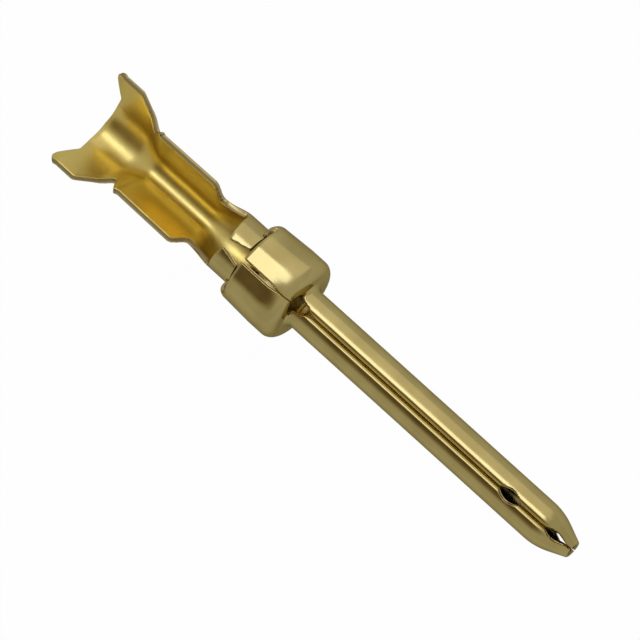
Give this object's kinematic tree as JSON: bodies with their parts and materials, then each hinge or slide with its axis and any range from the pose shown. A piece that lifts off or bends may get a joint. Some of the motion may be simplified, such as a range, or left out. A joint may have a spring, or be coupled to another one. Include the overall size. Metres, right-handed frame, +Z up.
{
  "type": "crimp pin contact",
  "caption": "Slim crimp contact with a split round pin, tapered tip, rolled stop collar, open trough for the bared wire and splayed ears for its insulation.",
  "frame": {"origin": "centre of the bounding box, on the surface that the contact lies on", "axes": "+X from the insulation ears towards the tip of the pin, +Y across the contact, +Z up out of the open barrels"},
  "size_m": [0.0148, 0.0026, 0.0022],
  "materials": {
    "gold_plate": "bright gold plate on stamped brass sheet"
  },
  "bodies": {
    "root": {"crimp_pin_contact": "gold_plate"}
  },
  "joints": []
}
